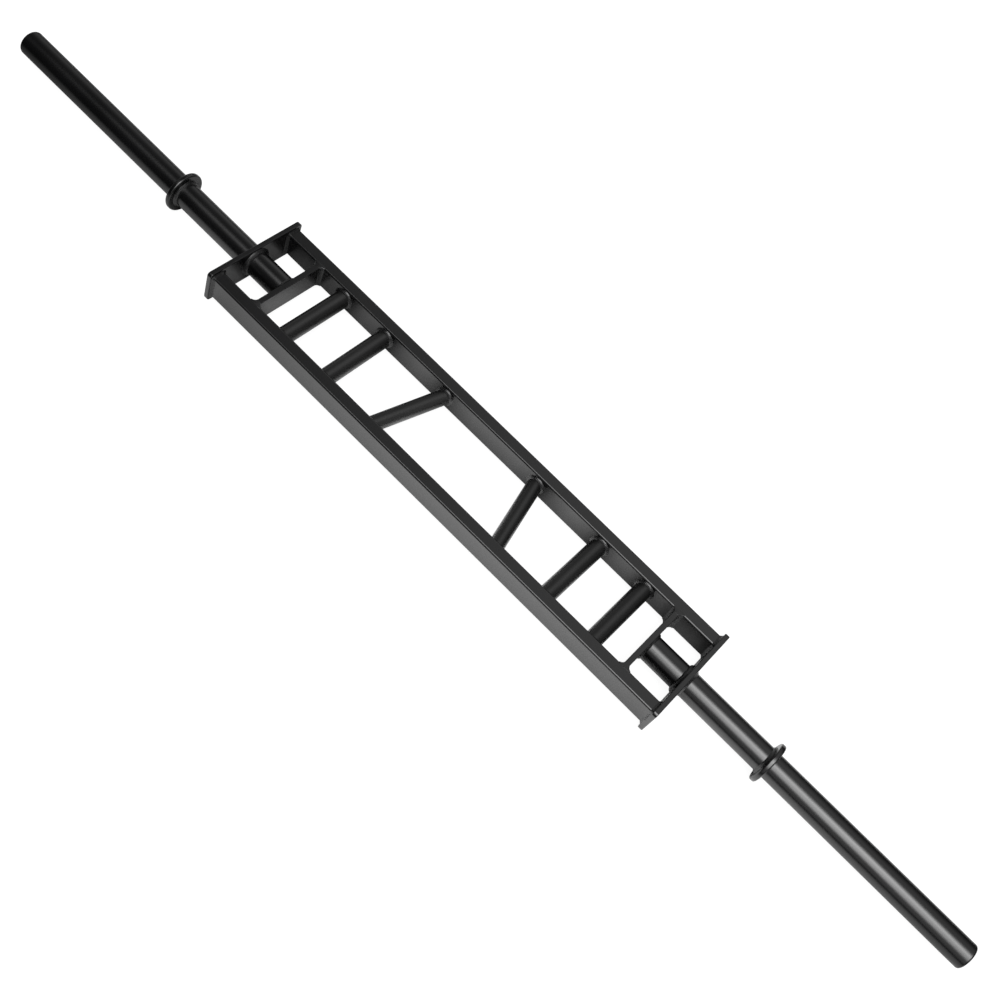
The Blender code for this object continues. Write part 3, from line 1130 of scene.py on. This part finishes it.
@dataclass
class Studio:
    """A plain pale floor, soft surroundings and the camera."""

    floor_height: float = -0.0406
    floor_size: float = 40.0
    floor_sides: int = 96
    floor_shade: str = "#606060"
    floor_glow: float = 0.93
    pools: tuple[Pool, ...] = (
        Pool("under the bar", (0.25, -0.07, 0.0), (0.65, 0.14), 1.77),
        Pool("behind the bar", (0.0, 0.36, 0.0), (1.2, 0.12), 0.64),
    )
    shade_reach: float = 0.06
    shade_samples: int = 8
    camera_place: tuple[float, float, float] = (0.437467, -1.199243, 1.817123)
    camera_aim: tuple[float, float, float] = (0.0958, 0.0013, 0.0)
    camera_roll: float = math.radians(31.14)
    camera_lens: float = 45.528
    camera_sensor: float = 36.0
    camera_reach: float = 100.0
    glows: tuple[Glow, ...] = (
        Glow("softbox, middle", (0.25, -0.24, 0.94), 15, 11.6),
        Glow("softbox, front edge", (0.19, -0.62, 0.76), 12, 8.3),
        Glow("softbox, left half", (-0.05, -0.30, 0.95), 13, 3.5),
        Glow("softbox, left end", (-0.18, -0.28, 0.94), 11, 3.3),
        Glow("lamp on the right", (0.85, -0.16, 0.50), 16, 2.2),
        Glow("right wall, front part", (0.98, -0.19, 0.05), 17, 0.7),
        Glow("right wall, rear part", (0.88, 0.44, 0.18), 17, 0.25),
        Glow("front wall", (0.26, -0.92, 0.28), 20, 0.9),
        Glow("left wall, front part", (-0.97, -0.25, 0.05), 17, 0.4),
        Glow("left wall, rear part", (-0.89, 0.42, 0.16), 22, 0.8),
        Glow("rear wall", (-0.23, 0.86, 0.46), 18, 0.9),
        Glow("ceiling behind", (0.10, 0.52, 0.85), 22, 0.92),
    )

    def camera(self) -> None:
        """Stand the camera where the photograph was taken from."""
        data = bpy.data.cameras.new("camera")
        data.sensor_width = self.camera_sensor
        data.lens = self.camera_lens
        data.clip_end = self.camera_reach
        camera = bpy.data.objects.new("camera", data)
        place = Vector(self.camera_place)
        aim = (Vector(self.camera_aim) - place).to_track_quat("-Z", "Y").to_matrix().to_4x4()
        roll = Matrix.Rotation(self.camera_roll, 4, "Z")
        camera.matrix_world = Matrix.Translation(place) @ aim @ roll
        bpy.context.scene.collection.objects.link(camera)
        bpy.context.scene.camera = camera

    def pool(self, tree: bpy.types.NodeTree, pool: Pool) -> bpy.types.Node:
        """Paint one pool of light as a soft oval, whose strength follows a bell curve.

        Args:
            tree: The floor's node tree.
            pool: The pool.

        Returns:
            The node whose first output is the pool's strength at each place.
        """
        place = add_node(tree, "ShaderNodeTexCoord").outputs["Object"]
        away = add_node(
            tree,
            "ShaderNodeVectorMath",
            {"operation": "SUBTRACT", "label": pool.name},
            {0: place, 1: Vector(pool.centre)},
        )
        reach = Vector((1 / pool.reach[0], 1 / pool.reach[1], 0.0))
        part = add_node(
            tree, "ShaderNodeVectorMath", {"operation": "MULTIPLY"}, {0: away.outputs[0], 1: reach}
        )
        square = add_node(
            tree,
            "ShaderNodeVectorMath",
            {"operation": "DOT_PRODUCT"},
            {0: part.outputs[0], 1: part.outputs[0]},
        )
        bell = -0.5
        fall = add_node(
            tree, "ShaderNodeMath", {"operation": "MULTIPLY"}, {0: square.outputs["Value"], 1: bell}
        )
        shape = add_node(tree, "ShaderNodeMath", {"operation": "EXPONENT"}, {0: fall.outputs[0]})
        return add_node(
            tree, "ShaderNodeMath", {"operation": "MULTIPLY"}, {0: shape.outputs[0], 1: pool.strength}
        )

    def answer(self, tree: bpy.types.NodeTree) -> bpy.types.Node:
        """Work out how strongly the floor answers the lights at each place.

        The real softbox stood near, so that its pool of light was brightest by the bar's right half.
        Lights painted on the far surroundings are even all over the floor, so the pools are painted.
        The floor is darker where the bar shades it from the room's spread light.

        Args:
            tree: The floor's node tree.

        Returns:
            The node whose first output is the answer.
        """
        under, behind = (self.pool(tree, pool) for pool in self.pools)
        both = add_node(
            tree, "ShaderNodeMath", {"operation": "ADD"}, {0: under.outputs[0], 1: behind.outputs[0]}
        )
        shade = add_node(
            tree,
            "ShaderNodeAmbientOcclusion",
            {"samples": self.shade_samples},
            {"Distance": self.shade_reach},
        )
        return add_node(
            tree,
            "ShaderNodeMath",
            {"operation": "MULTIPLY"},
            {0: both.outputs[0], 1: shade.outputs["AO"]},
        )

    def floor(self) -> None:
        """Lay the pale floor. The camera sees it white, and the bar's coat sees the pools of light."""
        bm = bmesh.new()
        radius = self.floor_size / 2
        bmesh.ops.create_circle(bm, cap_ends=True, segments=self.floor_sides, radius=radius)
        bmesh.ops.translate(bm, verts=bm.verts[:], vec=(0, 0, self.floor_height))
        mesh = bpy.data.meshes.new("floor")
        bm.to_mesh(mesh)
        bm.free()
        material = bpy.data.materials.new("paper_white_matt")
        material.use_nodes = True
        tree = material.node_tree
        tree.nodes.clear()
        matt = add_node(tree, "ShaderNodeBsdfDiffuse", inputs={"Color": linear(self.floor_shade)})
        glow = add_node(
            tree, "ShaderNodeEmission", inputs={"Color": linear("#ffffff"), "Strength": self.floor_glow}
        )
        white = add_node(tree, "ShaderNodeAddShader", inputs={0: matt.outputs[0], 1: glow.outputs[0]})
        lit = add_node(tree, "ShaderNodeBsdfDiffuse", inputs={"Color": self.answer(tree).outputs[0]})
        seen = add_node(tree, "ShaderNodeLightPath").outputs["Is Camera Ray"]
        both = add_node(
            tree, "ShaderNodeMixShader", inputs={0: seen, 1: lit.outputs[0], 2: white.outputs[0]}
        )
        add_node(tree, "ShaderNodeOutputMaterial", inputs={"Surface": both.outputs[0]})
        mesh.materials.append(material)
        floor = bpy.data.objects.new("floor", mesh)
        bpy.context.scene.collection.objects.link(floor)

    def surroundings(self) -> None:
        """Paint the soft lights on the world. The camera itself sees plain white there."""
        world = bpy.data.worlds.new("studio")
        world.use_nodes = True
        tree = world.node_tree
        tree.nodes.clear()
        way = add_node(tree, "ShaderNodeTexCoord").outputs["Generated"]
        total: bpy.types.NodeSocket | float = 0.0
        for glow in self.glows:
            facing = add_node(
                tree,
                "ShaderNodeVectorMath",
                {"operation": "DOT_PRODUCT", "label": glow.name},
                {0: way, 1: Vector(glow.towards).normalized()},
            )
            tightness = 1 / (1 - math.cos(math.radians(glow.spread)))
            away = add_node(
                tree,
                "ShaderNodeMath",
                {"operation": "MULTIPLY_ADD"},
                {0: facing.outputs["Value"], 1: tightness, 2: -tightness},
            )
            shape = add_node(tree, "ShaderNodeMath", {"operation": "EXPONENT"}, {0: away.outputs[0]})
            total = add_node(
                tree,
                "ShaderNodeMath",
                {"operation": "MULTIPLY_ADD"},
                {0: shape.outputs[0], 1: glow.strength, 2: total},
            ).outputs[0]
        light = add_node(
            tree, "ShaderNodeBackground", inputs={"Color": linear("#ffffff"), "Strength": total}
        )
        plain = add_node(
            tree, "ShaderNodeBackground", inputs={"Color": linear("#ffffff"), "Strength": 1.0}
        )
        seen = add_node(tree, "ShaderNodeLightPath").outputs["Is Camera Ray"]
        both = add_node(
            tree, "ShaderNodeMixShader", inputs={0: seen, 1: light.outputs[0], 2: plain.outputs[0]}
        )
        add_node(tree, "ShaderNodeOutputWorld", inputs={"Surface": both.outputs[0]})
        bpy.context.scene.world = world

    def build(self) -> None:
        """Set up the whole studio."""
        self.camera()
        self.floor()
        self.surroundings()
        bpy.context.scene.view_settings.view_transform = "Standard"


def main() -> None:
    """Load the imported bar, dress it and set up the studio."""
    logging.basicConfig(level=logging.INFO, format="%(name)s: %(message)s")
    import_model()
    layout = Layout()
    shop = Workshop(layout, {coat: finish.material() for coat, finish in COATS.items()})
    Rails(shop).build()
    Plates(shop).build()
    Sleeves(shop).build()
    Grips(shop).build()
    EndWelds(shop).build()
    Studio().build()


if __name__ == "__main__":
    main()
